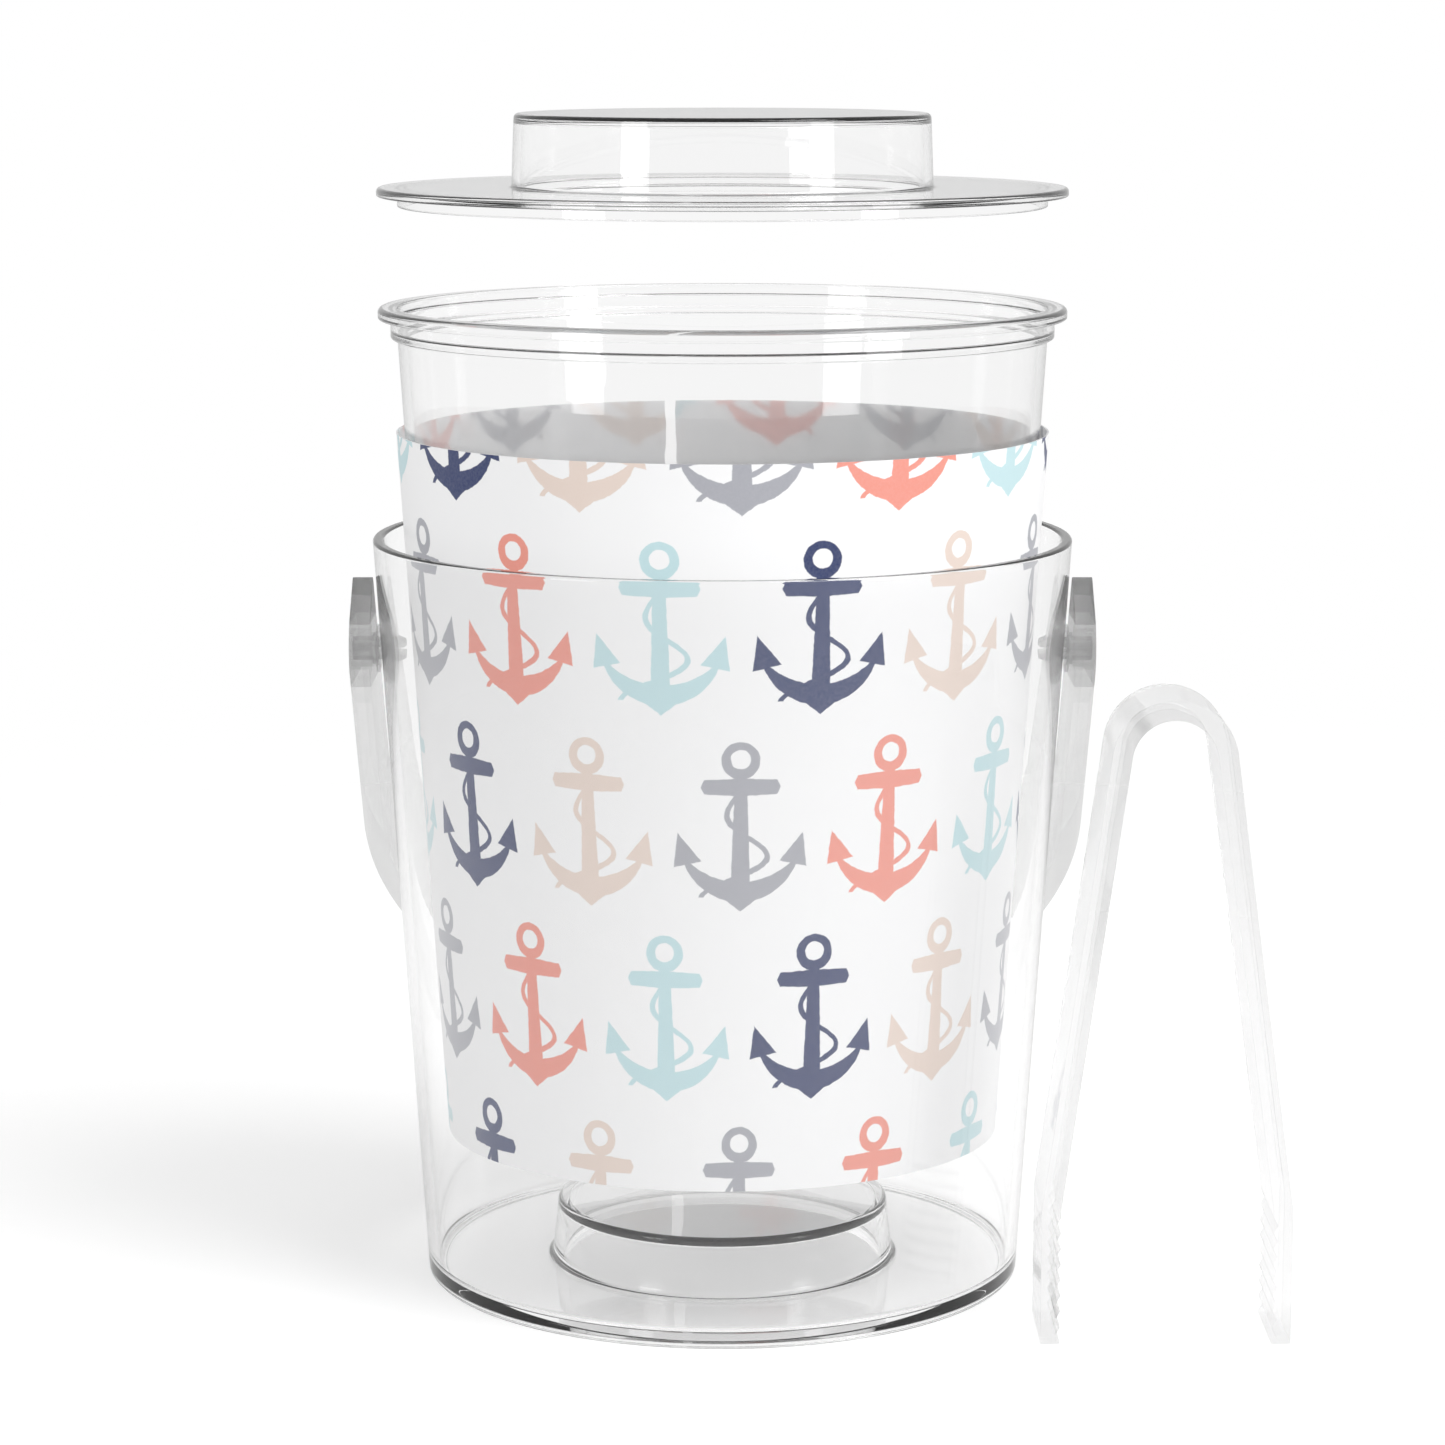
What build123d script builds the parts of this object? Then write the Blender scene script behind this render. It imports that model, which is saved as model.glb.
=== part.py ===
"""Double-walled ice bucket of clear plastic, with its lid, bail handle and a pair of ice tongs.

Units are millimetres. The origin is on the table at the bucket's axis, +Z is up, the bail's pivots lie
along X, the bail hangs behind the bucket (+Y), and the tongs stand beside it (+X).
The sleeve, the inner bucket and the lid are drawn lifted above their seats by the three lift values below.
A lift of 0 seats a piece on its seat clearance.
"""
from build123d import *
import os
from math import asin, atan, atan2, cos, degrees, hypot, radians, sin

os.makedirs("parts", exist_ok=True)

# ---- driving dimensions -------------------------------------------------------------------------
wall_taper = 0.0637             # radius gained per millimetre of height, on every bucket wall

rim_radius = 87.5               # outer bucket, outside of its rim
bucket_height = 188.2
bucket_wall = 2.7
rim_chamfer = 0.7
floor_thickness = 2.6
foot_height = 0.8               # the floor's underside is recessed inside a foot ring
foot_width = 3.6
floor_corner_round = 2.4
foot_chamfer = 0.7
boss_radius = 43.6              # raised seat in the middle of the floor, hollow below
boss_height = 18.0              # above the table
boss_draft = 0.105              # radius lost per millimetre up the boss
boss_edge_round = 1.3
boss_base_chamfer = 1.2

pivot_drop = 28.8               # from the rim down to the bail's pivots
pivot_hole_radius = 2.85

lip_bearing = 0.7               # width of the inner bucket's lip that bears on the outer rim
lip_thickness = 2.8
lip_chamfer = 0.9
collar_depth = 7.7              # from the lip's top to the underside of the centring collar
collar_chamfer = 0.5
liner_step = 1.7                # the collar stands out from the wall by this much
liner_wall = 2.3
liner_floor = 2.6
liner_corner_round = 4.0
rebate_depth = 5.9              # recess inside the mouth that takes the lid's skirt

sleeve_thickness = 0.45         # printed sheet between the walls
sleeve_height = 176.5
sleeve_seam = 3.0               # gap between the sheet's two ends
sleeve_seam_angle = 100.2       # about +Z from +X

lid_thickness = 2.2
lid_chamfer = 0.7
skirt_depth = 2.6               # locating ring under the lid
skirt_width = 2.0
drum_radius = 52.2              # hollow round knob in the middle of the lid
drum_height = 18.0
drum_wall = 2.0
drum_draft = 0.04
drum_edge_round = 1.2
drum_base_chamfer = 0.6

strip_thickness = 5.0           # bail, bent from one strip
strip_width = 25.6
strip_edge_chamfer = 0.4
bail_reach = 146.0              # from the pivot to the outside of the bend
ear_length = 13.4               # strip beyond the pivot
ear_front_round = 11.0
ear_back_round = 1.6
spigot_radius = 3.0             # pin, where it is pressed into the ear
shoulder_radius = 4.0
neck_radius = 2.8
prong_radius = 3.4
prong_tip_radius = 2.6
prong_length = 2.2
prong_slot = 1.2
slot_stop = 0.6                 # the slot ends this far short of the shoulder
washer_radius = 6.0
washer_thickness = 0.8

tongs_height = 157.6
tongs_width = 26.0
tongs_thickness = 4.75
tongs_span = 60.6               # outside to outside at the feet
bow_radius = 15.0               # outside of the bend at the top
knee_height = 33.0              # the tips are upright below the knee
knee_round = 10.0
tooth_count = 8                 # notches cut into the inner face of each tip
tooth_pitch = 3.9
tooth_depth = 1.0
tooth_foot = 0.4                # plain end of the tip below the teeth
tongs_stand_off = 19.55         # from the bucket's rim to the middle of the tongs, along X
tongs_centre_y = -58.3

# ---- clearances ---------------------------------------------------------------------------------
seat_gap = 0.2                  # left under a seated piece
collar_gap = 2.4                # collar in the outer bucket's mouth
skirt_gap = 0.25                # lid skirt in the inner bucket's rebate
rebate_wall = 1.75              # left outside the rebate, in the collar
sleeve_gap = 0.35               # sleeve around the inner bucket, when both are seated
washer_gap = 0.15               # washer to the outer wall
prong_gap = 0.15                # prongs' shoulder to the inside of the outer wall
neck_gap = 0.08                 # pin neck in the washer
ear_gap = 1.0                  # ear's inner face to the washer, bridged by the pin's shoulder
bail_rest_gap = 0.3             # bail's edge to the back wall that it leans on

# ---- how far each piece is lifted off its seat --------------------------------------------------
liner_lift = 54.4
sleeve_lift = 34.5
lid_lift = 27.0

# ---- derived places -----------------------------------------------------------------------------
floor_top = foot_height + floor_thickness
mouth_radius = rim_radius - bucket_wall
pivot_height = bucket_height - pivot_drop
lip_radius = mouth_radius + lip_bearing
collar_radius = mouth_radius - collar_gap
tongs_centre_x = rim_radius + tongs_stand_off


def bucket_radius(height):
    """Outer radius of the outer bucket's wall at a height above the table."""
    return rim_radius - wall_taper * (bucket_height - height)


liner_depth = bucket_height + lip_thickness - boss_height
liner_seat_z = boss_height + seat_gap
liner_bottom_z = liner_seat_z + liner_lift
lip_top_z = liner_bottom_z + liner_depth
liner_neck_radius = collar_radius - liner_step


def liner_radius(depth):
    """Outer radius of the inner bucket's wall at a depth below the lip's top."""
    return liner_neck_radius - wall_taper * (depth - collar_depth)


sleeve_seat_z = floor_top + seat_gap
sleeve_bottom_z = sleeve_seat_z + sleeve_lift
sleeve_top_depth = liner_seat_z + liner_depth - (sleeve_seat_z + sleeve_height)
sleeve_top_radius = liner_radius(sleeve_top_depth) + sleeve_gap + sleeve_thickness
sleeve_bottom_radius = sleeve_top_radius - wall_taper * sleeve_height

rebate_radius = collar_radius - rebate_wall
skirt_radius = rebate_radius - skirt_gap
lid_z = lip_top_z + seat_gap + lid_lift

washer_x = bucket_radius(pivot_height + washer_radius) + washer_gap
shoulder_x = washer_x + washer_thickness
ear_x = shoulder_x + ear_gap
pivot_reach = bail_reach - strip_thickness
prong_x = bucket_radius(pivot_height - prong_radius) - bucket_wall - prong_gap
prong_tip_x = prong_x - prong_length

# the bail hangs back until the lower inside edge of its bend meets the back wall
lean_a = pivot_reach + wall_taper * strip_width / 2
lean_b = wall_taper * pivot_reach - strip_width / 2
lean_c = bucket_radius(pivot_height) + bail_rest_gap
hang_angle = degrees(asin(lean_c / hypot(lean_a, lean_b)) - atan2(lean_b, lean_a))
bail_plane = Plane(
    origin=(0, 0, pivot_height),
    x_dir=(1, 0, 0),
    z_dir=(0, cos(radians(hang_angle)), sin(radians(hang_angle))),
)


def corner(sketch, x, y):
    """The profile's corner nearest to a point."""
    return sketch.vertices().sort_by_distance((x, y))[0]


def finish(builder, label):
    """Name a finished piece and write it."""
    builder.part.label = label
    export_step(builder.part, f"parts/{label}.step")


# ---- outer bucket -------------------------------------------------------------------------------
foot_radius = bucket_radius(0)
floor_radius = bucket_radius(floor_top) - bucket_wall
boss_top_radius = boss_radius - boss_draft * (boss_height - floor_top)

with BuildPart() as outer_bucket:
    with BuildSketch(Plane.XZ) as profile:
        with BuildLine():
            Polyline(
                (0, boss_height),
                (boss_top_radius, boss_height),
                (boss_radius, floor_top),
                (floor_radius, floor_top),
                (mouth_radius, bucket_height),
                (rim_radius, bucket_height),
                (foot_radius, 0),
                (foot_radius - foot_width, 0),
                (foot_radius - foot_width, foot_height),
                (boss_radius - floor_thickness, foot_height),
                (boss_top_radius - floor_thickness, boss_height - floor_thickness),
                (0, boss_height - floor_thickness),
                close=True,
            )
        make_face()
        fillet(corner(profile, boss_top_radius, boss_height), boss_edge_round)
        fillet(corner(profile, floor_radius, floor_top), floor_corner_round)
        chamfer(corner(profile, boss_radius, floor_top), boss_base_chamfer)
        chamfer(corner(profile, mouth_radius, bucket_height), rim_chamfer)
        chamfer(corner(profile, rim_radius, bucket_height), rim_chamfer)
        chamfer(corner(profile, foot_radius, 0), foot_chamfer)
    revolve(axis=Axis.Z)
    with BuildSketch(Plane.YZ):
        with Locations((0, pivot_height)):
            Circle(pivot_hole_radius)
    extrude(amount=rim_radius, both=True, mode=Mode.SUBTRACT)
finish(outer_bucket, "outer_bucket")

# ---- printed sleeve between the walls -----------------------------------------------------------
with BuildPart() as printed_sleeve:
    with BuildSketch(Plane.XZ):
        with BuildLine():
            Polyline(
                (sleeve_bottom_radius, sleeve_bottom_z),
                (sleeve_top_radius, sleeve_bottom_z + sleeve_height),
                (sleeve_top_radius - sleeve_thickness, sleeve_bottom_z + sleeve_height),
                (sleeve_bottom_radius - sleeve_thickness, sleeve_bottom_z),
                close=True,
            )
        make_face()
    revolve(axis=Axis.Z)
    with BuildSketch(Plane.XY.offset(sleeve_bottom_z).rotated((0, 0, sleeve_seam_angle))):
        Rectangle(rim_radius, sleeve_seam, align=(Align.MIN, Align.CENTER))
    extrude(amount=sleeve_height, mode=Mode.SUBTRACT)
finish(printed_sleeve, "printed_sleeve")

# ---- inner bucket, which holds the ice ----------------------------------------------------------
liner_base_radius = liner_radius(liner_depth)
liner_floor_depth = liner_depth - liner_floor

with BuildPart() as inner_bucket:
    with BuildSketch(Plane.XZ) as profile:
        with BuildLine():
            Polyline(
                (0, lip_top_z - liner_floor_depth),
                (liner_radius(liner_floor_depth) - liner_wall, lip_top_z - liner_floor_depth),
                (liner_radius(rebate_depth) - liner_wall, lip_top_z - rebate_depth),
                (rebate_radius, lip_top_z - rebate_depth),
                (rebate_radius, lip_top_z),
                (lip_radius, lip_top_z),
                (lip_radius, lip_top_z - lip_thickness),
                (collar_radius, lip_top_z - lip_thickness),
                (collar_radius, lip_top_z - collar_depth),
                (liner_neck_radius, lip_top_z - collar_depth),
                (liner_base_radius, liner_bottom_z),
                (0, liner_bottom_z),
                close=True,
            )
        make_face()
        chamfer(corner(profile, lip_radius, lip_top_z), lip_chamfer)
        chamfer(corner(profile, collar_radius, lip_top_z - collar_depth), collar_chamfer)
        fillet(corner(profile, liner_base_radius, liner_bottom_z), liner_corner_round)
        inside_corner = (liner_radius(liner_floor_depth) - liner_wall, lip_top_z - liner_floor_depth)
        fillet(corner(profile, *inside_corner), liner_corner_round)
    revolve(axis=Axis.Z)
finish(inner_bucket, "inner_bucket")

# ---- lid: flat flange, hollow drum for a knob, locating skirt below -----------------------------
drum_top_radius = drum_radius - drum_draft * drum_height
drum_top_z = lid_z + lid_thickness + drum_height

with BuildPart() as lid:
    with BuildSketch(Plane.XZ) as profile:
        with BuildLine():
            Polyline(
                (0, drum_top_z - drum_wall),
                (drum_top_radius - drum_wall, drum_top_z - drum_wall),
                (drum_radius - drum_wall, lid_z),
                (skirt_radius - skirt_width, lid_z),
                (skirt_radius - skirt_width, lid_z - skirt_depth),
                (skirt_radius, lid_z - skirt_depth),
                (skirt_radius, lid_z),
                (lip_radius, lid_z),
                (lip_radius, lid_z + lid_thickness),
                (drum_radius, lid_z + lid_thickness),
                (drum_top_radius, drum_top_z),
                (0, drum_top_z),
                close=True,
            )
        make_face()
        chamfer(corner(profile, lip_radius, lid_z + lid_thickness), lid_chamfer)
        chamfer(corner(profile, drum_radius, lid_z + lid_thickness), drum_base_chamfer)
        fillet(corner(profile, drum_top_radius, drum_top_z), drum_edge_round)
    revolve(axis=Axis.Z)
finish(lid, "lid")

# ---- bail handle --------------------------------------------------------------------------------
bend_radius = ear_x + strip_thickness           # outside of the half-round bend
leg_length = bail_reach - bend_radius
bend_inner_radius = ear_x

with BuildPart() as handle:
    with BuildSketch(bail_plane):
        with BuildLine():
            Line((bend_radius, -ear_length), (bend_radius, leg_length))
            CenterArc((0, leg_length), bend_radius, 0, 180)
            Line((-bend_radius, leg_length), (-bend_radius, -ear_length))
            Line((-bend_radius, -ear_length), (-bend_inner_radius, -ear_length))
            Line((-bend_inner_radius, -ear_length), (-bend_inner_radius, leg_length))
            CenterArc((0, leg_length), bend_inner_radius, 180, -180)
            Line((bend_inner_radius, leg_length), (bend_inner_radius, -ear_length))
            Line((bend_inner_radius, -ear_length), (bend_radius, -ear_length))
        make_face()
    extrude(amount=strip_width / 2, both=True)
    ear_corners = handle.edges().filter_by(Axis.X).sort_by(Axis(bail_plane.origin, bail_plane.z_dir))
    fillet(ear_corners[:2], ear_front_round)
    ear_corners = handle.edges().filter_by(Axis.X).sort_by(Axis(bail_plane.origin, bail_plane.z_dir))
    fillet(ear_corners[-2:], ear_back_round)
    chamfer(handle.edges(), strip_edge_chamfer)
    with BuildSketch(Plane.YZ):
        with Locations((0, pivot_height)):
            Circle(spigot_radius)
    extrude(amount=2 * bend_radius, both=True, mode=Mode.SUBTRACT)
finish(handle, "handle")

# ---- pivot pins and washers, one of each per side -----------------------------------------------
for side, name in ((-1, "left"), (1, "right")):
    with BuildPart() as pivot_pin:
        with BuildSketch(Plane.XZ):
            with BuildLine():
                Polyline(*[
                    (side * x, pivot_height + r)
                    for x, r in (
                        (prong_tip_x, 0),
                        (prong_tip_x, prong_tip_radius),
                        (prong_x, prong_radius),
                        (prong_x, neck_radius),
                        (shoulder_x, neck_radius),
                        (shoulder_x, shoulder_radius),
                        (ear_x, shoulder_radius),
                        (ear_x, spigot_radius),
                        (bend_radius, spigot_radius),
                        (bend_radius, 0),
                    )
                ], close=True)
            make_face()
        revolve(axis=Axis((0, 0, pivot_height), (1, 0, 0)))
        slot_end_x = shoulder_x - slot_stop
        with Locations((side * (prong_tip_x + slot_end_x) / 2, 0, pivot_height)):
            Box(slot_end_x - prong_tip_x, 2 * prong_radius, prong_slot, mode=Mode.SUBTRACT)
    finish(pivot_pin, f"pivot_pin_{name}")

    with BuildPart() as pivot_washer:
        with BuildSketch(Plane.YZ.offset(side * washer_x)):
            with Locations((0, pivot_height)):
                Circle(washer_radius)
                Circle(neck_radius + neck_gap, mode=Mode.SUBTRACT)
        extrude(amount=side * washer_thickness)
    finish(pivot_washer, f"pivot_washer_{name}")

# ---- tongs: one springy strip bent over a bow, drawn as the arm on each side of the bow's crown --
bow_z = tongs_height - bow_radius
half_span = tongs_span / 2
knee_distance = hypot(half_span, bow_z - knee_height)
arm_angle = atan(half_span / (bow_z - knee_height)) - asin(bow_radius / knee_distance)
bow_inner_radius = bow_radius - tongs_thickness
foot_inner_x = half_span - tongs_thickness
# the inner face's knee, where the arm's inner line meets the tip's
inner_knee_z = knee_height + tongs_thickness * (1 - cos(arm_angle)) / sin(arm_angle)
arc_end = 90 - degrees(arm_angle)
teeth = [
    point
    for i in range(tooth_count)
    for point in (
        (foot_inner_x, tooth_foot + i * tooth_pitch),
        (foot_inner_x + tooth_depth, tooth_foot + (i + 0.5) * tooth_pitch),
    )
] + [(foot_inner_x, tooth_foot + tooth_count * tooth_pitch)]


def bow_point(radius):
    """Where the bow's arc of a given radius runs into the arm."""
    return (radius * cos(arm_angle), bow_z + radius * sin(arm_angle))


for side, name in ((-1, "left"), (1, "right")):
    arm_plane = Plane(
        origin=(tongs_centre_x, tongs_centre_y, 0), x_dir=(side, 0, 0), z_dir=(0, -side, 0)
    )
    with BuildPart() as tongs_arm:
        with BuildSketch(arm_plane) as profile:
            with BuildLine():
                CenterArc((0, bow_z), bow_radius, degrees(arm_angle), arc_end)
                Polyline(
                    bow_point(bow_radius),
                    (half_span, knee_height),
                    (half_span, 0),
                    (foot_inner_x, 0),
                    *teeth,
                    (foot_inner_x, inner_knee_z),
                    bow_point(bow_inner_radius),
                )
                CenterArc((0, bow_z), bow_inner_radius, degrees(arm_angle), arc_end)
                Line((0, bow_z + bow_inner_radius), (0, bow_z + bow_radius))
            make_face()
            fillet(corner(profile, half_span, knee_height), knee_round)
            fillet(corner(profile, foot_inner_x, inner_knee_z), knee_round)
        extrude(amount=tongs_width / 2, both=True)
        side_faces = tongs_arm.faces().filter_by(Axis.Y)
        long_edges = side_faces.edges().filter_by(lambda edge: edge.length > tooth_pitch)
        chamfer(long_edges, strip_edge_chamfer)
    finish(tongs_arm, f"tongs_{name}_arm")
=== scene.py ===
"""Looks of the clear ice bucket: lathe-turned clear plastic, a printed sleeve, a bent bail and bent tongs."""
from math import acos, asin, atan, atan2, cos, degrees, hypot, pi, radians, sin, sqrt, tan

import bmesh
import bpy
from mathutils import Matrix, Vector


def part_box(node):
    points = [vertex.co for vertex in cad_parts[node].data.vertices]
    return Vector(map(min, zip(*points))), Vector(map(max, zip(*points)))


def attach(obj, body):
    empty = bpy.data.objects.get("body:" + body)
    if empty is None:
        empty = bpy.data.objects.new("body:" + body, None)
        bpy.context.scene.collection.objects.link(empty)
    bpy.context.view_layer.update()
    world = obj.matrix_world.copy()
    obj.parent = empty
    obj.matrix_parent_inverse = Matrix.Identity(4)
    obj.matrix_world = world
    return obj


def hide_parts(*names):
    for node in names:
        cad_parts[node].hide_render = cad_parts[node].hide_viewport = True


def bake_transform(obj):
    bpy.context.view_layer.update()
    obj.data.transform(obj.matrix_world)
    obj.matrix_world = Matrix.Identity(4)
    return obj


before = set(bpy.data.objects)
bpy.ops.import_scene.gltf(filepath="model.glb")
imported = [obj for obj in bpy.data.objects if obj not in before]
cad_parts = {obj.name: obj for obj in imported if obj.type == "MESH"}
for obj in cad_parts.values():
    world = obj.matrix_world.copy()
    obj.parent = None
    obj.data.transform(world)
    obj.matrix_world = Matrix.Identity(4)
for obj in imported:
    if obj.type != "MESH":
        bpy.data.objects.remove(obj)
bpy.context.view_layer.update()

MM = 0.001
TAU = 2 * pi
PLASTIC_IOR = 1.49
WALL_TAPER = 0.0637                 # radius gained per height, on every bucket wall
LATHE_STEPS = 256
ARC_STEPS = 6                       # facets in one rounded corner

scene = bpy.context.scene
scene.view_settings.view_transform = "Standard"


# ---- camera, first, because everything is judged through it --------------------------------------
CAMERA_HEIGHT = 0.3196
CAMERA_DISTANCE = 1.052
CAMERA_PITCH = 9.67                 # degrees below the horizon
CAMERA_LENS = 105.16
CAMERA_SENSOR = 36.0


def make_camera():
    data = bpy.data.cameras.new("camera")
    data.sensor_width = CAMERA_SENSOR
    data.lens = CAMERA_LENS
    camera = bpy.data.objects.new("camera", data)
    camera.location = (0, -CAMERA_DISTANCE, CAMERA_HEIGHT)
    camera.rotation_euler = (radians(90 - CAMERA_PITCH), 0, 0)
    scene.collection.objects.link(camera)
    scene.camera = camera


# ---- small helpers for shader nodes --------------------------------------------------------------
class Nodes:
    """Builds a node tree, one call per node."""

    def __init__(self, tree):
        self.tree = tree
        tree.nodes.clear()

    def add(self, kind, **values):
        node = self.tree.nodes.new(kind)
        for name, value in values.items():
            setattr(node, name, value)
        return node

    def feed(self, socket, value):
        """Sets a socket to a constant, or links it to another socket."""
        if isinstance(value, bpy.types.NodeSocket):
            self.tree.links.new(value, socket)
        else:
            socket.default_value = value

    def math(self, operation, *values):
        node = self.add("ShaderNodeMath", operation=operation)
        for socket, value in zip(node.inputs, values):
            self.feed(socket, value)
        return node.outputs[0]

    def noise(self, scale, detail, vector=None):
        node = self.add("ShaderNodeTexNoise")
        self.feed(node.inputs["Scale"], scale)
        self.feed(node.inputs["Detail"], detail)
        if vector is not None:
            self.feed(node.inputs["Vector"], vector)
        return node.outputs["Fac"]

    def spread(self, value, low, high):
        """Maps 0..1 to low..high."""
        node = self.add("ShaderNodeMapRange")
        self.feed(node.inputs["Value"], value)
        node.inputs["To Min"].default_value = low
        node.inputs["To Max"].default_value = high
        return node.outputs[0]

    def mix_shader(self, factor, first, second):
        node = self.add("ShaderNodeMixShader")
        self.feed(node.inputs[0], factor)
        self.tree.links.new(first, node.inputs[1])
        self.tree.links.new(second, node.inputs[2])
        return node.outputs[0]


def new_material(name):
    material = bpy.data.materials.new(name)
    material.use_nodes = True
    return material, Nodes(material.node_tree)


# ---- materials -----------------------------------------------------------------------------------
def clear_plastic(name, tint, haze=0.0, roughness=0.0, wear=0.02, gloss=0.5, bands=None):
    """Clear acrylic that bends light, with a light shadow. haze is the share of the surface that lets light
    straight through instead, unbent and tinted. bands are (height in mm at rest, tint) pairs: they paint that
    tint by height and stand for no real change in the plastic; a darker band higher up is painted shade."""
    material, n = new_material(name)
    coords = n.add("ShaderNodeTexCoord").outputs["Object"]
    rub = n.noise(90.0, 3.0, coords)
    plastic = n.add("ShaderNodeBsdfPrincipled")
    plastic.inputs["Base Color"].default_value = (*tint, 1)
    plastic.inputs["Transmission Weight"].default_value = 1.0
    plastic.inputs["IOR"].default_value = PLASTIC_IOR
    plastic.inputs["Specular IOR Level"].default_value = gloss
    n.feed(plastic.inputs["Roughness"], n.spread(rub, roughness, roughness + wear))
    glow = n.add("ShaderNodeBsdfTransparent")
    glow.inputs["Color"].default_value = (0.95, 0.95, 0.95, 1)
    if bands:
        # each band replaces the tint below it; a darker band above is painted shade
        height = n.add("ShaderNodeSeparateXYZ")
        n.feed(height.inputs[0], coords)
        shade = n.spread(rub, bands[0][1], bands[0][1] + 0.01)
        for start, tone in bands[1:]:
            above = n.math("GREATER_THAN", height.outputs["Z"], start * MM)
            drop = n.math("MULTIPLY", n.math("SUBTRACT", shade, tone), above)
            shade = n.math("SUBTRACT", shade, drop)
        grey = n.add("ShaderNodeCombineColor")
        for channel in ("Red", "Green", "Blue"):
            n.feed(grey.inputs[channel], shade)
        n.feed(glow.inputs["Color"], grey.outputs[0])
    path = n.add("ShaderNodeLightPath")
    soft = n.math("MAXIMUM", path.outputs["Is Shadow Ray"], path.outputs["Is Diffuse Ray"])
    if haze:
        soft = n.math("MAXIMUM", soft, haze)
    out = n.add("ShaderNodeOutputMaterial")
    n.feed(out.inputs["Surface"], n.mix_shader(soft, plastic.outputs[0], glow.outputs[0]))
    return material


PRINT_COLUMNS = 13
PRINT_ROW_PITCH = 47.3              # mm
PRINT_FIRST_ROW = -4.2              # mm above the sleeve's lower edge
PRINT_FRONT_ANGLE = 3.2             # degrees to the right of the front
PRINT_RADIUS = 76.0                 # mm, turns an angle into a width on the sheet
SEAM_ANGLE = -169.8                 # degrees from the front, where the sheet's ends meet
INKS = {
    "grey": (0.385, 0.39, 0.43),
    "coral": (0.84, 0.30, 0.235),
    "aqua": (0.53, 0.73, 0.765),
    "navy": (0.014, 0.03, 0.125),
    "beige": (0.79, 0.66, 0.585),
}
SHEET_WHITE = (0.93, 0.93, 0.935)
ROPE_WAVE = 0.30                    # radians of swing per mm of fall
ROPE_HALF = 0.62                    # mm, half the rope's width
STOCK_HEIGHT = 9.6                  # mm above the anchor's middle


def anchor_mask(n, u, v):
    """1 inside a roped anchor drawn about (0, 0), in mm, u across and v up."""
    x = n.math("ABSOLUTE", u)

    def less(a, b):
        return n.math("SUBTRACT", a, b)

    def inside_all(*distances):
        value = distances[0]
        for other in distances[1:]:
            value = n.math("MAXIMUM", value, other)
        return value

    def inside_any(*distances):
        value = distances[0]
        for other in distances[1:]:
            value = n.math("MINIMUM", value, other)
        return value

    def from_point(px, py):
        dx = less(u, px)
        dy = less(v, py)
        return n.math("SQRT", n.math("ADD", n.math("MULTIPLY", dx, dx), n.math("MULTIPLY", dy, dy)))

    def disc(px, py, radius):
        return less(from_point(px, py), radius)

    def outside(px, py, radius):
        return less(radius, from_point(px, py))

    def side(a, b):
        """Distance to the right of the line from a to b, on the folded half."""
        length = hypot(b[0] - a[0], b[1] - a[1])
        nx, ny = (b[1] - a[1]) / length, -(b[0] - a[0]) / length
        shifted = n.math("ADD", n.math("MULTIPLY", x, nx), n.math("MULTIPLY", v, ny))
        return less(shifted, a[0] * nx + a[1] * ny)

    ring = inside_all(disc(0.0, 16.0, 4.5), outside(0.0, 16.3, 2.35))
    off_stock = n.math("ABSOLUTE", less(v, STOCK_HEIGHT))
    bar_end = n.math("MULTIPLY", off_stock, 0.45)
    stock_half = n.math("ADD", n.math("MULTIPLY", x, -0.05), 2.15)
    stock = inside_all(less(n.math("ADD", x, bar_end), 9.3), less(off_stock, stock_half))
    flare = n.math("MULTIPLY", less(10.0, v), 0.034)
    shank = inside_all(less(x, n.math("ADD", flare, 1.45)), less(v, 13.0), less(-16.5, v))
    arms = inside_all(disc(0.0, -4.1, 14.2), outside(0.0, 4.5, 17.9), less(v, -7.0))
    crown = inside_all(side((0.0, -20.6), (6.4, -15.6)), less(v, -14.4))
    fluke = inside_all(
        side((15.8, -9.9), (14.8, -1.6)), side((14.8, -1.6), (9.2, -8.4)), side((9.2, -8.4), (15.8, -9.9))
    )
    drawn = inside_any(ring, stock, shank, arms, crown, fluke)

    # a rope swings out further on each side as it winds down the shank, and ends in a short tail
    fall = less(9.0, v)
    swing = n.math("ADD", n.math("MULTIPLY", fall, 0.30), 1.5)
    phase = n.math("MULTIPLY", fall, ROPE_WAVE)
    wave = n.math("MULTIPLY", n.math("SINE", phase), n.math("MULTIPLY", swing, -1.0))
    slope = n.math("MULTIPLY", n.math("COSINE", phase), n.math("MULTIPLY", swing, ROPE_WAVE))
    stretch = n.math("SQRT", n.math("ADD", n.math("MULTIPLY", slope, slope), 1.0))
    rope_off = n.math("DIVIDE", n.math("ABSOLUTE", less(u, wave)), stretch)
    rope = inside_all(less(rope_off, ROPE_HALF), less(v, 9.0), less(-17.2, v))
    drawn = inside_any(drawn, rope)

    wobble = n.spread(n.noise(700.0, 2.0, n.add("ShaderNodeTexCoord").outputs["Object"]), -0.22, 0.22)
    edge = n.add("ShaderNodeMapRange", interpolation_type="SMOOTHSTEP")
    n.feed(edge.inputs["Value"], n.math("ADD", drawn, wobble))
    edge.inputs["From Min"].default_value = 0.14
    edge.inputs["From Max"].default_value = -0.14
    return edge.outputs[0]


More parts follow.
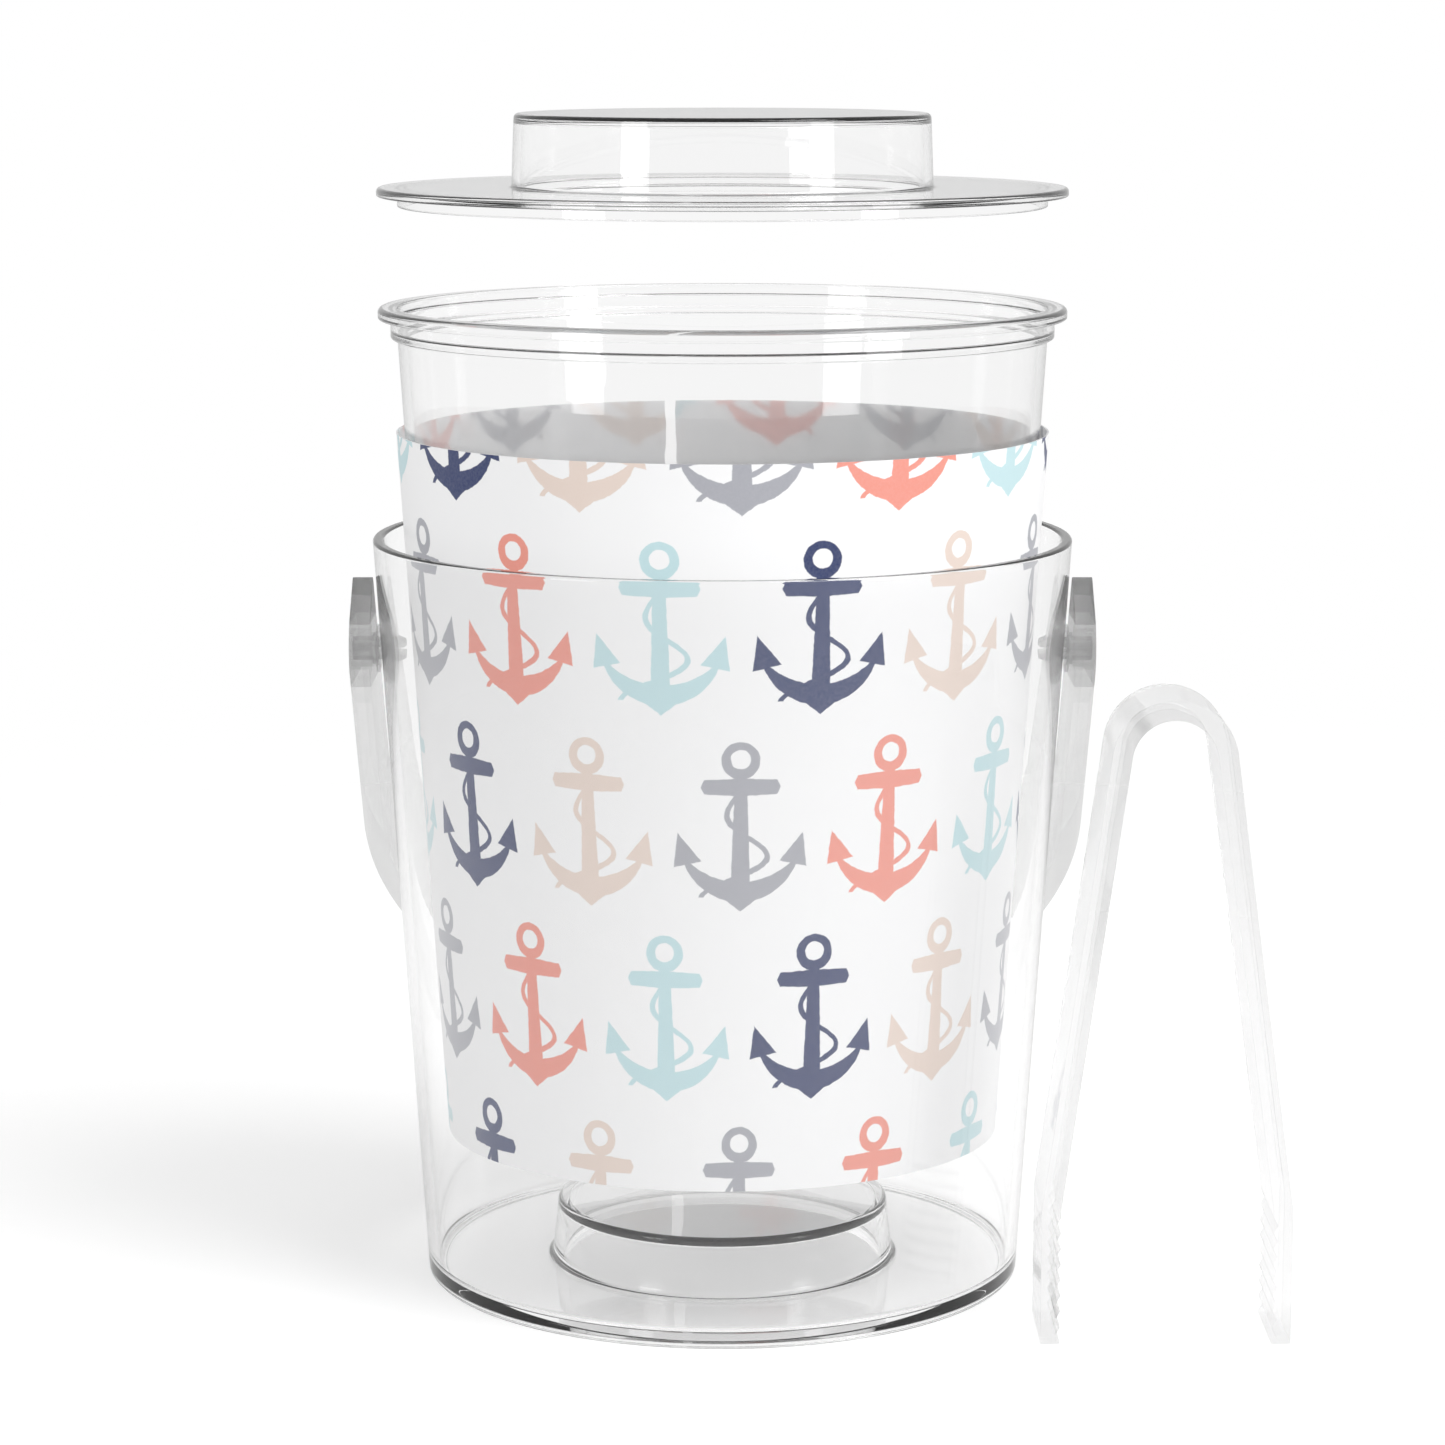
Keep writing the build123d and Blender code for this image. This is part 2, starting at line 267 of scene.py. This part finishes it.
def printed_sheet(name, foot_z):
    """White plastic sheet, printed outside with staggered rows of roped anchors in five inks."""
    material, n = new_material(name)
    coords = n.add("ShaderNodeTexCoord").outputs["Object"]
    place = n.add("ShaderNodeSeparateXYZ")
    n.feed(place.inputs[0], coords)
    angle = n.math("ARCTAN2", place.outputs["X"], n.math("MULTIPLY", place.outputs["Y"], -1.0))
    angle = n.math("DEGREES", angle)
    behind_seam = n.math("LESS_THAN", angle, SEAM_ANGLE)
    angle = n.math("ADD", angle, n.math("MULTIPLY", behind_seam, 360.0))

    up = n.math("MULTIPLY", n.math("SUBTRACT", place.outputs["Z"], foot_z), 1000.0)
    up = n.math("SUBTRACT", up, PRINT_FIRST_ROW)
    row = n.math("ROUND", n.math("DIVIDE", up, PRINT_ROW_PITCH))
    v = n.math("SUBTRACT", up, n.math("MULTIPLY", row, PRINT_ROW_PITCH))
    odd = n.math("ABSOLUTE", n.math("MODULO", row, 2.0))

    column_pitch = 360.0 / PRINT_COLUMNS
    shifted = n.math("SUBTRACT", angle, n.math("MULTIPLY", odd, column_pitch / 2))
    shifted = n.math("SUBTRACT", shifted, PRINT_FRONT_ANGLE)
    column = n.math("ROUND", n.math("DIVIDE", shifted, column_pitch))
    turn = n.math("SUBTRACT", shifted, n.math("MULTIPLY", column, column_pitch))
    u = n.math("MULTIPLY", turn, radians(PRINT_RADIUS))

    ink_count = len(INKS)
    order = n.math("ADD", n.math("ADD", column, n.math("MULTIPLY", odd, 3.0)), 10.0 * ink_count)
    order = n.math("MODULO", order, float(ink_count))
    inks = n.add("ShaderNodeValToRGB")
    inks.color_ramp.interpolation = "CONSTANT"
    stops = inks.color_ramp.elements
    while len(stops) < ink_count:
        stops.new(1.0)
    for i, ink in enumerate(INKS.values()):
        stops[i].position = i / ink_count
        stops[i].color = (*ink, 1)
    n.feed(inks.inputs[0], n.math("DIVIDE", n.math("ADD", order, 0.5), float(ink_count)))

    density = n.noise(1500.0, 2.0, coords)
    mask = n.math("MULTIPLY", anchor_mask(n, u, v), n.spread(density, 0.90, 1.0))
    paint = n.add("ShaderNodeMix", data_type="RGBA")
    n.feed(paint.inputs["Factor"], mask)
    paint.inputs["A"].default_value = (*SHEET_WHITE, 1)
    n.feed(paint.inputs["B"], inks.outputs[0])

    sheet = n.add("ShaderNodeBsdfPrincipled")
    sheet.inputs["Specular IOR Level"].default_value = 0.25
    n.feed(sheet.inputs["Base Color"], paint.outputs["Result"])
    n.feed(sheet.inputs["Roughness"], n.spread(n.noise(60.0, 2.0, coords), 0.32, 0.42))
    out = n.add("ShaderNodeOutputMaterial")
    n.feed(out.inputs["Surface"], sheet.outputs[0])
    return material


SHEET_GLOW = 0.58                   # share of the unprinted back that is translucent


def plain_sheet(name):
    """The sheet's unprinted back and cut edges."""
    material, n = new_material(name)
    coords = n.add("ShaderNodeTexCoord").outputs["Object"]
    grain = n.noise(400.0, 3.0, coords)
    tone = n.add("ShaderNodeMix", data_type="RGBA")
    n.feed(tone.inputs["Factor"], grain)
    tone.inputs["A"].default_value = (0.90, 0.90, 0.905, 1)
    tone.inputs["B"].default_value = (0.94, 0.94, 0.945, 1)
    sheet = n.add("ShaderNodeBsdfPrincipled")
    n.feed(sheet.inputs["Base Color"], tone.outputs["Result"])
    n.feed(sheet.inputs["Roughness"], n.spread(grain, 0.45, 0.6))
    through = n.add("ShaderNodeBsdfTranslucent")
    through.inputs["Color"].default_value = (0.95, 0.95, 0.95, 1)
    out = n.add("ShaderNodeOutputMaterial")
    n.feed(out.inputs["Surface"], n.mix_shader(SHEET_GLOW, sheet.outputs[0], through.outputs[0]))
    return material


# ---- meshes --------------------------------------------------------------------------------------
def rounded_profile(corners):
    """(radius, height, normal's radius part, normal's height part) along a profile of (radius, height,
    rounding) corners in mm. The profile runs with the solid on its left, from the axis to the axis."""
    points = []
    for i, (r, z, rounding) in enumerate(corners):
        here = Vector((r, z))
        if i in (0, len(corners) - 1):
            other = corners[1] if i == 0 else corners[-2]
            along = (Vector(other[:2]) - here) * (1 if i == 0 else -1)
            along.normalize()
            points.append((r, z, along.y, -along.x))
            continue
        before = (here - Vector(corners[i - 1][:2])).normalized()
        after = (Vector(corners[i + 1][:2]) - here).normalized()
        n0, n1 = Vector((before.y, -before.x)), Vector((after.y, -after.x))
        turn = atan2(before.cross(after), before.dot(after))
        back = rounding * tan(abs(turn) / 2)
        hand = 1 if turn > 0 else -1
        centre = here - before * back - n0 * rounding * hand
        start = atan2(n0.y, n0.x)
        for k in range(ARC_STEPS + 1):
            a = start + turn * k / ARC_STEPS
            nr, nz = cos(a), sin(a)
            points.append((centre.x + hand * rounding * nr, centre.y + hand * rounding * nz, nr, nz))
    return points


def lathe(name, corners):
    """A closed turned solid with exact smooth normals."""
    profile = rounded_profile(corners)
    verts, normals, faces, rings = [], [], [], []
    for r, z, nr, nz in profile:
        if r < 1e-6:
            rings.append([len(verts)])
            verts.append((0, 0, z * MM))
            normals.append((0, 0, 1 if nz > 0 else -1))
            continue
        rings.append(list(range(len(verts), len(verts) + LATHE_STEPS)))
        for k in range(LATHE_STEPS):
            a = TAU * k / LATHE_STEPS
            verts.append((r * MM * cos(a), r * MM * sin(a), z * MM))
            normals.append((nr * cos(a), nr * sin(a), nz))
    for low, high in zip(rings, rings[1:]):
        for k in range(LATHE_STEPS):
            m = (k + 1) % LATHE_STEPS
            if len(low) == 1:
                faces.append((low[0], high[m], high[k]))
            elif len(high) == 1:
                faces.append((low[k], low[m], high[0]))
            else:
                faces.append((low[k], low[m], high[m], high[k]))
    mesh = bpy.data.meshes.new(name)
    mesh.from_pydata(verts, [], faces)
    mesh.shade_smooth()
    mesh.normals_split_custom_set_from_vertices(normals)
    piece = bpy.data.objects.new(name, mesh)
    scene.collection.objects.link(piece)
    return piece


def stands_for(piece, material, node, body):
    piece.data.materials.append(material)
    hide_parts(node)
    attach(piece, body)


# ---- sizes in mm, taken from the frame where it shows them ---------------------------------------
def node_box(node):
    low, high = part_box(node)
    return low / MM, high / MM


shell_low, shell_high = node_box("outer_bucket")
liner_low, liner_high = node_box("inner_bucket")
lid_low, lid_high = node_box("lid")
sleeve_low, sleeve_high = node_box("printed_sleeve")
bail_low, bail_high = node_box("handle")
left_low, left_high = node_box("tongs_left_arm")
right_low, right_high = node_box("tongs_right_arm")

RIM_RADIUS = 87.5
BUCKET_HEIGHT = shell_high.z
BUCKET_WALL = 2.7
FLOOR_TOP = 3.4
FOOT_RECESS = 0.8
FOOT_WIDTH = 3.6
BOSS_RADIUS = 43.6
BOSS_TOP_RADIUS = 42.1
BOSS_HEIGHT = 18.0
FLOOR_THICKNESS = FLOOR_TOP - FOOT_RECESS

LIP_RADIUS = 85.5
COLLAR_RADIUS = 82.4
LIP_THICKNESS = 2.8
COLLAR_DEPTH = 7.7
LINER_NECK_RADIUS = 80.7
LINER_WALL = 2.3
LINER_FLOOR = 2.6
REBATE_RADIUS = 80.65
REBATE_DEPTH = 5.9
LINER_DEPTH = liner_high.z - liner_low.z

SKIRT_RADIUS = 80.4
SKIRT_WIDTH = 2.0
SKIRT_DEPTH = 2.6
LID_THICKNESS = 2.2
DRUM_RADIUS = 52.2
DRUM_TOP_RADIUS = 51.5
DRUM_WALL = 2.0

MINOR_ROUND = 0.35                  # on edges that look crisp


def bucket_radius(height):
    return RIM_RADIUS - WALL_TAPER * (BUCKET_HEIGHT - height)


def liner_radius(depth):
    return LINER_NECK_RADIUS - WALL_TAPER * (depth - COLLAR_DEPTH)


def make_shell(material):
    foot = bucket_radius(0)
    corners = [
        (0, BOSS_HEIGHT - FLOOR_THICKNESS, 0),
        (BOSS_TOP_RADIUS - FLOOR_THICKNESS, BOSS_HEIGHT - FLOOR_THICKNESS, MINOR_ROUND),
        (BOSS_RADIUS - FLOOR_THICKNESS, FOOT_RECESS, MINOR_ROUND),
        (foot - FOOT_WIDTH, FOOT_RECESS, MINOR_ROUND),
        (foot - FOOT_WIDTH, 0, MINOR_ROUND),
        (foot, 0, 0.8),
        (RIM_RADIUS, BUCKET_HEIGHT, 0.8),
        (RIM_RADIUS - BUCKET_WALL, BUCKET_HEIGHT, 0.8),
        (bucket_radius(FLOOR_TOP) - BUCKET_WALL, FLOOR_TOP, 2.4),
        (BOSS_RADIUS, FLOOR_TOP, 1.6),
        (BOSS_TOP_RADIUS, BOSS_HEIGHT, 1.3),
        (0, BOSS_HEIGHT, 0),
    ]
    shell = lathe("shell_clear", corners)
    stands_for(shell, material, "outer_bucket", "shell")
    return shell


def make_liner(material):
    top = liner_high.z
    liner = lathe("liner_clear", [
        (0, liner_low.z, 0),
        (liner_radius(LINER_DEPTH), liner_low.z, 4.0),
        (LINER_NECK_RADIUS, top - COLLAR_DEPTH, 0.5),
        (COLLAR_RADIUS, top - COLLAR_DEPTH, 0.6),
        (COLLAR_RADIUS, top - LIP_THICKNESS, 0.5),
        (LIP_RADIUS, top - LIP_THICKNESS, 0.4),
        (LIP_RADIUS, top, 1.2),
        (REBATE_RADIUS, top, 0.5),
        (REBATE_RADIUS, top - REBATE_DEPTH, 0.4),
        (liner_radius(REBATE_DEPTH) - LINER_WALL, top - REBATE_DEPTH, 0.5),
        (liner_radius(LINER_DEPTH - LINER_FLOOR) - LINER_WALL, liner_low.z + LINER_FLOOR, 4.0),
        (0, liner_low.z + LINER_FLOOR, 0),
    ])
    stands_for(liner, material, "inner_bucket", "liner")
    return liner


def make_lid(material):
    seat = lid_low.z + SKIRT_DEPTH
    top = lid_high.z
    lid = lathe("lid_clear", [
        (0, top - DRUM_WALL, 0),
        (DRUM_TOP_RADIUS - DRUM_WALL, top - DRUM_WALL, 0.6),
        (DRUM_RADIUS - DRUM_WALL, seat, 0.6),
        (SKIRT_RADIUS - SKIRT_WIDTH, seat, MINOR_ROUND),
        (SKIRT_RADIUS - SKIRT_WIDTH, seat - SKIRT_DEPTH, 0.4),
        (SKIRT_RADIUS, seat - SKIRT_DEPTH, 0.4),
        (SKIRT_RADIUS, seat, MINOR_ROUND),
        (LIP_RADIUS, seat, 0.5),
        (LIP_RADIUS, seat + LID_THICKNESS, 1.0),
        (DRUM_RADIUS, seat + LID_THICKNESS, 0.8),
        (DRUM_TOP_RADIUS, top, 1.2),
        (0, top, 0),
    ])
    stands_for(lid, material, "lid", "cover")
    return lid


SLEEVE_THICKNESS = 0.45
SLEEVE_STEPS = 420
SLEEVE_ROWS = 60
SEAM_GAP = 3.0


def make_sleeve(outside, inside):
    """A rolled sheet: a tapered tube, open by an uneven gap at the seam."""
    foot, height = sleeve_low.z, sleeve_high.z - sleeve_low.z
    top_radius = (sleeve_high.x - sleeve_low.x) / 2
    bm = bmesh.new()
    skins = []
    for thickness in (0, SLEEVE_THICKNESS):
        skin = []
        for j in range(SLEEVE_ROWS + 1):
            up = j / SLEEVE_ROWS
            r = top_radius - WALL_TAPER * height * (1 - up) - thickness
            tear = 0.5 * sin(31 * up) + 0.35 * sin(83 * up + 1) + 0.25 * sin(171 * up + 2)
            ends = [SEAM_GAP / 2 + 0.45 * tear, SEAM_GAP / 2 - 0.35 * tear + 0.3 * sin(57 * up)]
            first = SEAM_ANGLE + degrees(ends[0] / r)
            last = SEAM_ANGLE + 360 - degrees(ends[1] / r)
            row = []
            for i in range(SLEEVE_STEPS + 1):
                a = radians(first + (last - first) * i / SLEEVE_STEPS)
                row.append(bm.verts.new((r * sin(a) * MM, -r * cos(a) * MM, (foot + height * up) * MM)))
            skin.append(row)
        skins.append(skin)
    outer, inner = skins

    def quad(a, b, c, d, slot):
        face = bm.faces.new((a, b, c, d))
        face.smooth = slot == 0 or slot == 1
        face.material_index = min(slot, 1)

    for j in range(SLEEVE_ROWS):
        for i in range(SLEEVE_STEPS):
            quad(outer[j][i], outer[j][i + 1], outer[j + 1][i + 1], outer[j + 1][i], 0)
            quad(inner[j][i], inner[j + 1][i], inner[j + 1][i + 1], inner[j][i + 1], 1)
        quad(outer[j][0], outer[j + 1][0], inner[j + 1][0], inner[j][0], 2)
        quad(outer[j][-1], inner[j][-1], inner[j + 1][-1], outer[j + 1][-1], 2)
    for i in range(SLEEVE_STEPS):
        quad(outer[0][i], inner[0][i], inner[0][i + 1], outer[0][i + 1], 2)
        quad(outer[-1][i], outer[-1][i + 1], inner[-1][i + 1], inner[-1][i], 2)
    mesh = bpy.data.meshes.new("sleeve_sheet")
    bm.to_mesh(mesh)
    bm.free()
    mesh.set_sharp_from_angle(angle=radians(35))
    piece = bpy.data.objects.new("sleeve_sheet", mesh)
    scene.collection.objects.link(piece)
    mesh.materials.append(outside)
    mesh.materials.append(inside)
    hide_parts("printed_sleeve")
    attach(piece, "sleeve")


STRIP_ROUND = 0.10                  # mm, on the strips' long edges


def strip_section(low, high, thickness):
    """Rounded rectangle: (across, depth) round a strip's section, across from low to high."""
    points = []
    r = STRIP_ROUND
    for cx, cy, start in (
        (high - r, thickness - r, 0), (low + r, thickness - r, 90), (low + r, r, 180), (high - r, r, 270)
    ):
        for k in range(5):
            a = radians(start + 22.5 * k)
            points.append((cx + r * cos(a), cy + r * sin(a)))
    return points


def sweep_strip(name, stations):
    """A strip through stations of (point, out, along the width, low, high, thickness), in mm."""
    bm = bmesh.new()
    rings = []
    for point, out, width, low, high, thickness in stations:
        ring = []
        for across, depth in strip_section(low, high, thickness):
            ring.append(bm.verts.new((point + width * across + out * depth) * MM))
        rings.append(ring)
    count = len(rings[0])
    for a, b in zip(rings, rings[1:]):
        for k in range(count):
            m = (k + 1) % count
            bm.faces.new((a[k], a[m], b[m], b[k]))
    bm.faces.new(list(reversed(rings[0])))
    bm.faces.new(rings[-1])
    bmesh.ops.recalc_face_normals(bm, faces=bm.faces)
    mesh = bpy.data.meshes.new(name)
    bm.to_mesh(mesh)
    bm.free()
    mesh.shade_smooth()
    mesh.set_sharp_from_angle(angle=radians(40))
    piece = bpy.data.objects.new(name, mesh)
    scene.collection.objects.link(piece)
    return piece


PIVOT_HEIGHT = 159.4
BAIL_REACH = 146.0
STRIP_THICKNESS = 5.0
STRIP_WIDTH = 25.6
EAR_LENGTH = 13.4
EAR_FRONT_ROUND = 11.0
EAR_BACK_ROUND = 1.6
BEND_STEPS = 96


def make_bail(material):
    """The bail's strip: two legs with shaped ears and a half-round bend, in the plane it hangs in."""
    outside = bail_high.x
    inside = outside - STRIP_THICKNESS
    leg = BAIL_REACH - outside
    # the frame shows how far the bail hangs: the ear's and the bend's corners bound the box in z
    low_z, width = bail_low.z, STRIP_WIDTH / 2
    drop = PIVOT_HEIGHT - low_z
    hang = acos(drop / hypot(BAIL_REACH, width)) + atan2(width, BAIL_REACH)
    reach = Vector((0, sin(hang), -cos(hang)))
    width_dir = Vector((0, cos(hang), sin(hang)))
    pivot = Vector((0, 0, PIVOT_HEIGHT))

    def limits(from_end):
        low, high = -STRIP_WIDTH / 2, STRIP_WIDTH / 2
        if from_end < EAR_FRONT_ROUND:
            low += EAR_FRONT_ROUND - sqrt(EAR_FRONT_ROUND ** 2 - (EAR_FRONT_ROUND - from_end) ** 2)
        if from_end < EAR_BACK_ROUND:
            high -= EAR_BACK_ROUND - sqrt(EAR_BACK_ROUND ** 2 - (EAR_BACK_ROUND - from_end) ** 2)
        return low, high

    ends = [EAR_FRONT_ROUND * (1 - cos(radians(a))) for a in range(0, 91, 6)]
    ends += [EAR_LENGTH, EAR_LENGTH + leg / 2]
    stations = []
    for s in ends:
        low, high = limits(s)
        point = Vector((inside, 0, 0)) + pivot + reach * (s - EAR_LENGTH)
        stations.append((point, Vector((1, 0, 0)), width_dir, low, high))
    for k in range(BEND_STEPS + 1):
        a = pi * k / BEND_STEPS
        out = Vector((cos(a), 0, 0)) + reach * sin(a)
        point = pivot + reach * leg + out * inside
        stations.append((point, out, width_dir, -STRIP_WIDTH / 2, STRIP_WIDTH / 2))
    for s in reversed(ends):
        low, high = limits(s)
        point = Vector((-inside, 0, 0)) + pivot + reach * (s - EAR_LENGTH)
        stations.append((point, Vector((-1, 0, 0)), width_dir, low, high))
    bail = sweep_strip("bail_strip", [(*s, STRIP_THICKNESS) for s in stations])
    stands_for(bail, material, "handle", "bail")
    return bail


TONGS_THICKNESS = 4.75
BOW_RADIUS = 15.0
KNEE_HEIGHT = 33.0
TOOTH_COUNT = 8
TOOTH_PITCH = 3.9
TOOTH_DEPTH = 1.0
TOOTH_FOOT = 0.4
BOW_STEPS = 64


def make_tongs(material):
    """One strip, bent over the bow, its tips notched inside."""
    centre_x = (left_low.x + right_high.x) / 2
    half_span = (right_high.x - left_low.x) / 2
    height = right_high.z
    bow_z = height - BOW_RADIUS
    far = hypot(half_span, bow_z - KNEE_HEIGHT)
    lean = atan(half_span / (bow_z - KNEE_HEIGHT)) - asin(BOW_RADIUS / far)
    inner_radius = BOW_RADIUS - TONGS_THICKNESS
    foot_x = half_span - TONGS_THICKNESS
    knee_inner_z = KNEE_HEIGHT + TONGS_THICKNESS * (1 - cos(lean)) / sin(lean)
    outer = [(half_span, 0), (half_span, KNEE_HEIGHT)]
    inner = [(foot_x, 0), (foot_x, TOOTH_FOOT)]
    for i in range(TOOTH_COUNT):
        inner.append((foot_x + TOOTH_DEPTH, TOOTH_FOOT + (i + 0.5) * TOOTH_PITCH))
        inner.append((foot_x, TOOTH_FOOT + (i + 1) * TOOTH_PITCH))
    inner.append((foot_x, knee_inner_z))
    leg_steps = 12
    start = Vector((BOW_RADIUS * cos(lean), bow_z + BOW_RADIUS * sin(lean)))
    start_inner = Vector((inner_radius * cos(lean), bow_z + inner_radius * sin(lean)))
    for k in range(1, leg_steps):
        outer.append(tuple(Vector((half_span, KNEE_HEIGHT)).lerp(start, k / leg_steps)))
        inner.append(tuple(Vector((foot_x, knee_inner_z)).lerp(start_inner, k / leg_steps)))
    for k in range(BOW_STEPS + 1):
        a = lean + (pi - 2 * lean) * k / BOW_STEPS
        outer.append((BOW_RADIUS * cos(a), bow_z + BOW_RADIUS * sin(a)))
        inner.append((inner_radius * cos(a), bow_z + inner_radius * sin(a)))
    half_outer, half_inner = outer[: -(BOW_STEPS + 1)], inner[: -(BOW_STEPS + 1)]
    outer += [(-x, z) for x, z in reversed(half_outer)]
    inner += [(-x, z) for x, z in reversed(half_inner)]
    outline = outer + list(reversed(inner))
    bm = bmesh.new()
    front_y, back_y = left_low.y, left_high.y
    front = [bm.verts.new(((centre_x + x) * MM, front_y * MM, z * MM)) for x, z in outline]
    back = [bm.verts.new(((centre_x + x) * MM, back_y * MM, z * MM)) for x, z in outline]
    count = len(outline)
    for k in range(count):
        m = (k + 1) % count
        bm.faces.new((front[k], front[m], back[m], back[k]))
    front_cap = bm.faces.new(front)
    back_cap = bm.faces.new(list(reversed(back)))
    rim = [e for e in bm.edges if len({f for f in e.link_faces} & {front_cap, back_cap}) == 1]
    bmesh.ops.recalc_face_normals(bm, faces=bm.faces)
    bmesh.ops.bevel(bm, geom=rim, offset=STRIP_ROUND * MM, segments=1, affect="EDGES", profile=0.5)
    bmesh.ops.triangulate(bm, faces=[f for f in bm.faces if len(f.verts) > 4])
    mesh = bpy.data.meshes.new("tongs_strip")
    bm.to_mesh(mesh)
    bm.free()
    mesh.shade_smooth()
    mesh.set_sharp_from_angle(angle=radians(25))
    tongs = bpy.data.objects.new("tongs_strip", mesh)
    scene.collection.objects.link(tongs)
    mesh.materials.append(material)
    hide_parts("tongs_left_arm", "tongs_right_arm")
    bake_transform(tongs)


# ---- floor, backdrop and light -------------------------------------------------------------------
FLOOR_SIZE = 3.0
FLOOR_SOLID = 0.22                  # the floor fades into the white backdrop between these two radii
FLOOR_GONE = 0.95
FLOOR_LIFT = 0.34                   # share of the floor's white that is its own, the rest is light on it
MIRRORED = 0.75                     # how bright the backdrop looks in a reflection
SEEN_THROUGH = 0.95                 # and through the plastic
AMBIENT = 0.62                      # and to a diffuse ray, so this much light is added to the lamps'


def seen_level(n):
    """How bright the backdrop is to the ray that meets it: 1 to the camera, 0 to a diffuse ray."""
    path = n.add("ShaderNodeLightPath")
    through = n.math("MULTIPLY", path.outputs["Is Transmission Ray"], SEEN_THROUGH)
    mirrored = n.math("MULTIPLY", path.outputs["Is Glossy Ray"], MIRRORED)
    return n.math("MAXIMUM", path.outputs["Is Camera Ray"], n.math("MAXIMUM", through, mirrored))


def make_floor():
    mesh = bpy.data.meshes.new("floor")
    half = FLOOR_SIZE / 2
    corners = [(-half, -half, 0), (half, -half, 0), (half, half, 0), (-half, half, 0)]
    mesh.from_pydata(corners, [], [(0, 1, 2, 3)])
    floor = bpy.data.objects.new("floor", mesh)
    scene.collection.objects.link(floor)
    material, n = new_material("floor_white")
    diffuse = n.add("ShaderNodeBsdfDiffuse")
    diffuse.inputs["Color"].default_value = (0.80, 0.80, 0.80, 1)
    lift = n.add("ShaderNodeEmission")
    n.feed(lift.inputs["Strength"], n.math("MULTIPLY", seen_level(n), FLOOR_LIFT))
    both = n.add("ShaderNodeAddShader")
    n.tree.links.new(diffuse.outputs[0], both.inputs[0])
    n.tree.links.new(lift.outputs[0], both.inputs[1])
    reach = n.add("ShaderNodeVectorMath", operation="LENGTH")
    n.feed(reach.inputs[0], n.add("ShaderNodeTexCoord").outputs["Object"])
    fade = n.add("ShaderNodeMapRange", interpolation_type="SMOOTHSTEP")
    n.feed(fade.inputs["Value"], reach.outputs["Value"])
    fade.inputs["From Min"].default_value = FLOOR_SOLID
    fade.inputs["From Max"].default_value = FLOOR_GONE
    clear = n.add("ShaderNodeBsdfTransparent")
    out = n.add("ShaderNodeOutputMaterial")
    n.feed(out.inputs["Surface"], n.mix_shader(fade.outputs[0], both.outputs[0], clear.outputs[0]))
    mesh.materials.append(material)


def make_world():
    world = bpy.data.worlds.new("studio")
    scene.world = world
    world.use_nodes = True
    n = Nodes(world.node_tree)
    path = n.add("ShaderNodeLightPath")
    diffuse = n.math("MULTIPLY", path.outputs["Is Diffuse Ray"], AMBIENT)
    background = n.add("ShaderNodeBackground")
    background.inputs["Color"].default_value = (1, 1, 1, 1)
    n.feed(background.inputs["Strength"], n.math("MAXIMUM", seen_level(n), diffuse))
    out = n.add("ShaderNodeOutputWorld")
    n.feed(out.inputs["Surface"], background.outputs[0])


def area_light(name, azimuth, elevation, distance, width, height, power):
    """A softbox facing the bucket. Azimuth 0 is behind the camera, positive to its right."""
    target = Vector((0, 0, 0.14))
    a, e = radians(azimuth), radians(elevation)
    back = Vector((sin(a) * cos(e), -cos(a) * cos(e), sin(e)))
    data = bpy.data.lights.new(name, "AREA")
    data.shape = "RECTANGLE"
    data.size = width
    data.size_y = height
    data.energy = power
    light = bpy.data.objects.new(name, data)
    light.location = target + back * distance
    light.rotation_euler = (-back).to_track_quat("-Z", "Y").to_euler()
    scene.collection.objects.link(light)


def make_lights():
    area_light("key_right", 58, 50, 1.8, 1.0, 1.2, 17)
    area_light("strip_left", -48, 12, 1.5, 0.40, 1.1, 5)
    area_light("strip_right", 55, 12, 1.5, 0.36, 1.0, 4)


make_camera()
make_world()
make_floor()
make_lights()

clear_shell = clear_plastic("clear_shell", (0.985, 0.985, 0.985), gloss=0.22)
clear_liner = clear_plastic("clear_liner", (0.985, 0.985, 0.985), gloss=0.4)
clear_lid = clear_plastic("clear_lid", (0.985, 0.985, 0.985))
# painted shade: the ears are painted darker than the legs, in place of the dark that refraction gives them:
# (height in mm at rest, light let through)
EAR_PAINTED_SHADE = ((0, 0.86), (151.0, 0.66), (167.0, 0.40))
clear_handle = clear_plastic("clear_handle", (0.92, 0.92, 0.92), 0.75, bands=EAR_PAINTED_SHADE)
clear_pin = clear_plastic("clear_pin", (0.88, 0.88, 0.88), 0.6, 0.05, 0.05, bands=((0, 0.78),))
clear_tongs = clear_plastic("clear_tongs", (0.95, 0.95, 0.95), 0.55, bands=((0, 0.90),))

make_shell(clear_shell)
make_liner(clear_liner)
make_lid(clear_lid)
make_sleeve(printed_sheet("printed_sheet", sleeve_low.z * MM), plain_sheet("sheet_back"))
make_bail(clear_handle)
make_tongs(clear_tongs)
for part in ("pivot_pin_left", "pivot_pin_right", "pivot_washer_left", "pivot_washer_right"):
    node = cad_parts[part]
    node.data.materials.clear()
    node.data.materials.append(clear_pin)

bpy.context.view_layer.update()
